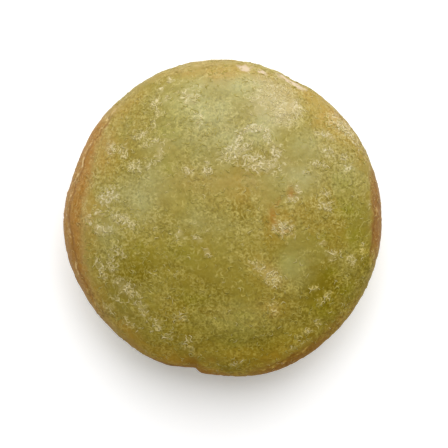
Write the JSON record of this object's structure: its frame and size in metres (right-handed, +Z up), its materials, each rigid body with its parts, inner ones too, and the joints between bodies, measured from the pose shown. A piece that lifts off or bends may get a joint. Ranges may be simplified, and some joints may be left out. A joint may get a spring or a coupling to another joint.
{
  "type": "green lentil",
  "caption": "Dry green lentil: a lens-shaped seed with a rounded rim, a small nick beside its scar and a flat spot it rests on.",
  "frame": {"origin": "on the surface the seed rests on, under the middle of its bounding box", "axes": "+Z up along the seed's short axis, from face to face; the nick beside the scar is on the -Y side"},
  "size_m": [0.0066, 0.0066, 0.0027],
  "materials": {
    "seed_coat": "dull waxy seed coat, olive green with pale scuffs and a brown rim"
  },
  "bodies": {
    "root": {"lentil": "seed_coat"}
  },
  "joints": []
}
